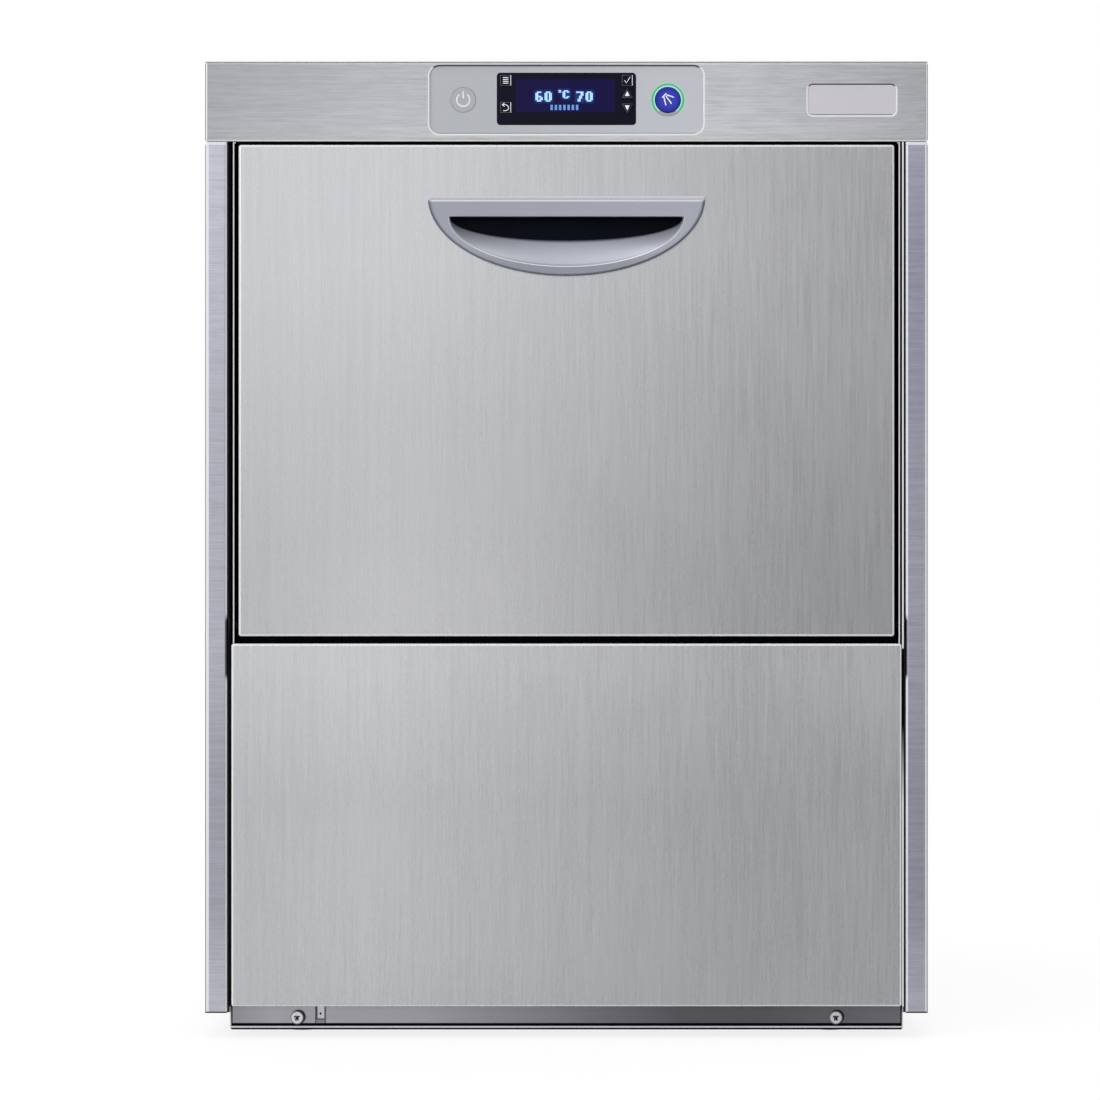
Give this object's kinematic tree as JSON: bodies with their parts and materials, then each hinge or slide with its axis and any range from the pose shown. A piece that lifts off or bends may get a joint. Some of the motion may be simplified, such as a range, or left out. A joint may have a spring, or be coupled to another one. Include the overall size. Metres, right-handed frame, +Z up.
{
  "type": "undercounter glass washer",
  "caption": "Undercounter commercial glass washer: steel cabinet with a drop-down door, touch-key fascia, wash chamber with rack and spray arms, and pumps below.",
  "frame": {"origin": "on the floor under the middle of the machine's outside box", "axes": "+Z up, -Y towards the user at the door, +X to the user's right"},
  "size_m": [0.58, 0.6, 0.784],
  "materials": {
    "door_steel": "vertically brushed stainless steel",
    "fascia_steel": "horizontally brushed stainless steel",
    "casing_steel": "brushed stainless steel",
    "chassis_steel": "plain mill stainless steel",
    "chamber_steel": "satin stainless steel",
    "fastener_steel": "bright stainless steel",
    "handle_plastic": "satin silver-grey moulding",
    "keypad_plastic": "satin silver film",
    "lens_plastic": "dark gloss lens",
    "start_key_plastic": "blue lit key",
    "light_guide": "green lit ring",
    "badge_metal": "satin plate",
    "seal_rubber": "black rubber",
    "bush_plastic": "white acetal",
    "spring_steel": "spring steel",
    "foot_plastic": "black plastic",
    "arm_plastic": "blue moulded plastic",
    "rinse_plastic": "pale moulded plastic",
    "rack_plastic": "blue moulded plastic",
    "filter_plastic": "grey moulded plastic",
    "motor_alloy": "cast alloy",
    "pump_plastic": "black moulded plastic",
    "pipe_rubber": "black hose",
    "board_resin": "green circuit board"
  },
  "bodies": {
    "cabinet": {"base_tray": "casing_steel", "left_chassis_wall": "chassis_steel", "right_chassis_wall": "chassis_steel", "top_lid": "casing_steel", "left_side_panel": "casing_steel", "right_side_panel": "casing_steel", "rear_panel": "chassis_steel", "lower_front_panel": "door_steel", "front_panel_screws": "fastener_steel", "control_fascia": "fascia_steel", "control_overlay": "keypad_plastic", "display_window": "lens_plastic", "start_light_ring": "light_guide", "control_board": "board_resin", "badge_plate": "badge_metal", "door_springs": "spring_steel", "hinge_bushes": "bush_plastic", "door_frame": "casing_steel", "door_seal": "seal_rubber", "wash_chamber": "chamber_steel", "wash_tank": "chamber_steel", "tank_strainer": "chamber_steel", "sump_filter": "filter_plastic", "tank_heater": "fastener_steel", "lower_arm_spindle": "rinse_plastic", "upper_arm_spindle": "rinse_plastic", "wash_pump": "motor_alloy", "spray_pipework": "pipe_rubber", "rinse_boiler": "chamber_steel", "rinse_pump": "motor_alloy", "drain_pump": "pump_plastic", "water_inlet_valve": "pump_plastic", "cable_gland": "pump_plastic", "dosing_pumps": "pump_plastic", "electrics_plate": "chassis_steel"},
    "door": {"door_outer_skin": "door_steel", "door_inner_panel": "chamber_steel", "door_handle": "handle_plastic", "left_hinge_arm": "fastener_steel", "right_hinge_arm": "fastener_steel"},
    "rack": {"glass_rack": "rack_plastic"},
    "lower_wash_arm": {"lower_wash_arm": "arm_plastic"},
    "lower_rinse_arm": {"lower_rinse_arm": "rinse_plastic"},
    "upper_wash_arm": {"upper_wash_arm": "arm_plastic"},
    "upper_rinse_arm": {"upper_rinse_arm": "rinse_plastic"},
    "pump_rotor": {"pump_rotor": "pump_plastic"},
    "detergent_rotor": {"detergent_rotor": "rinse_plastic"},
    "rinse_aid_rotor": {"rinse_aid_rotor": "rinse_plastic"},
    "standpipe": {"overflow_standpipe": "filter_plastic"},
    "power_button": {"power_button": "keypad_plastic"},
    "start_button": {"start_button": "start_key_plastic"},
    "menu_key": {"menu_key": "lens_plastic"},
    "back_key": {"back_key": "lens_plastic"},
    "confirm_key": {"confirm_key": "lens_plastic"},
    "up_key": {"up_key": "lens_plastic"},
    "down_key": {"down_key": "lens_plastic"},
    "front_left_foot": {"front_left_foot": "foot_plastic"},
    "front_right_foot": {"front_right_foot": "foot_plastic"},
    "rear_left_foot": {"rear_left_foot": "foot_plastic"},
    "rear_right_foot": {"rear_right_foot": "foot_plastic"}
  },
  "joints": [
    {"name": "door_hinge", "type": "hinge", "parent": "cabinet", "child": "door", "pos_m": [0, -0.286, 0.3315], "axis": [1, 0, 0], "range_deg": [0, 90], "stiffness_Nm_per_rad": 3, "springref_deg": -57.3, "deforming": ["door_springs"]},
    {"name": "rack_slide", "type": "slide", "parent": "cabinet", "child": "rack", "axis": [0, -1, 0], "range_m": [0, 0.07]},
    {"name": "lower_wash_arm_spin", "type": "hinge", "parent": "cabinet", "child": "lower_wash_arm", "pos_m": [0, -0.0066, 0.339], "axis": [0, 0, 1], "continuous": true},
    {"name": "lower_rinse_arm_spin", "type": "hinge", "parent": "cabinet", "child": "lower_rinse_arm", "pos_m": [0, -0.0066, 0.339], "axis": [0, 0, 1], "continuous": true},
    {"name": "upper_wash_arm_spin", "type": "hinge", "parent": "cabinet", "child": "upper_wash_arm", "pos_m": [0, -0.0066, 0.693], "axis": [0, 0, 1], "continuous": true},
    {"name": "upper_rinse_arm_spin", "type": "hinge", "parent": "cabinet", "child": "upper_rinse_arm", "pos_m": [0, -0.0066, 0.693], "axis": [0, 0, 1], "continuous": true},
    {"name": "pump_rotor_spin", "type": "hinge", "parent": "cabinet", "child": "pump_rotor", "pos_m": [0, -0.095, 0.066], "axis": [1, 0, 0], "continuous": true},
    {"name": "detergent_rotor_spin", "type": "hinge", "parent": "cabinet", "child": "detergent_rotor", "pos_m": [0.14, -0.225, 0.0815], "axis": [0, 1, 0], "continuous": true},
    {"name": "rinse_aid_rotor_spin", "type": "hinge", "parent": "cabinet", "child": "rinse_aid_rotor", "pos_m": [0.206, -0.225, 0.0815], "axis": [0, 1, 0], "continuous": true},
    {"name": "standpipe_lift", "type": "slide", "parent": "cabinet", "child": "standpipe", "axis": [0, 0, 1], "range_m": [0, 0.025]},
    {"name": "power_button_press", "type": "slide", "parent": "cabinet", "child": "power_button", "axis": [0, 1, 0], "range_m": [0, 0.001], "stiffness_N_per_m": 900, "springref_m": -0.0005},
    {"name": "start_button_press", "type": "slide", "parent": "cabinet", "child": "start_button", "axis": [0, 1, 0], "range_m": [0, 0.0015], "stiffness_N_per_m": 800, "springref_m": -0.0005},
    {"name": "menu_key_press", "type": "slide", "parent": "cabinet", "child": "menu_key", "axis": [0, 1, 0], "range_m": [0, 0.0006], "stiffness_N_per_m": 700, "springref_m": -0.0005},
    {"name": "back_key_press", "type": "slide", "parent": "cabinet", "child": "back_key", "axis": [0, 1, 0], "range_m": [0, 0.0006], "stiffness_N_per_m": 700, "springref_m": -0.0005},
    {"name": "confirm_key_press", "type": "slide", "parent": "cabinet", "child": "confirm_key", "axis": [0, 1, 0], "range_m": [0, 0.0006], "stiffness_N_per_m": 700, "springref_m": -0.0005},
    {"name": "up_key_press", "type": "slide", "parent": "cabinet", "child": "up_key", "axis": [0, 1, 0], "range_m": [0, 0.0006], "stiffness_N_per_m": 700, "springref_m": -0.0005},
    {"name": "down_key_press", "type": "slide", "parent": "cabinet", "child": "down_key", "axis": [0, 1, 0], "range_m": [0, 0.0006], "stiffness_N_per_m": 700, "springref_m": -0.0005},
    {"name": "front_left_foot_screw", "type": "slide", "parent": "cabinet", "child": "front_left_foot", "axis": [0, 0, -1], "range_m": [0, 0.025]},
    {"name": "front_right_foot_screw", "type": "slide", "parent": "cabinet", "child": "front_right_foot", "axis": [0, 0, -1], "range_m": [0, 0.025]},
    {"name": "rear_left_foot_screw", "type": "slide", "parent": "cabinet", "child": "rear_left_foot", "axis": [0, 0, -1], "range_m": [0, 0.025]},
    {"name": "rear_right_foot_screw", "type": "slide", "parent": "cabinet", "child": "rear_right_foot", "axis": [0, 0, -1], "range_m": [0, 0.025]}
  ],
  "couplings": [
    {"joint": "rack_slide", "follows": "door_hinge", "m_per_rad": 0.044}
  ]
}
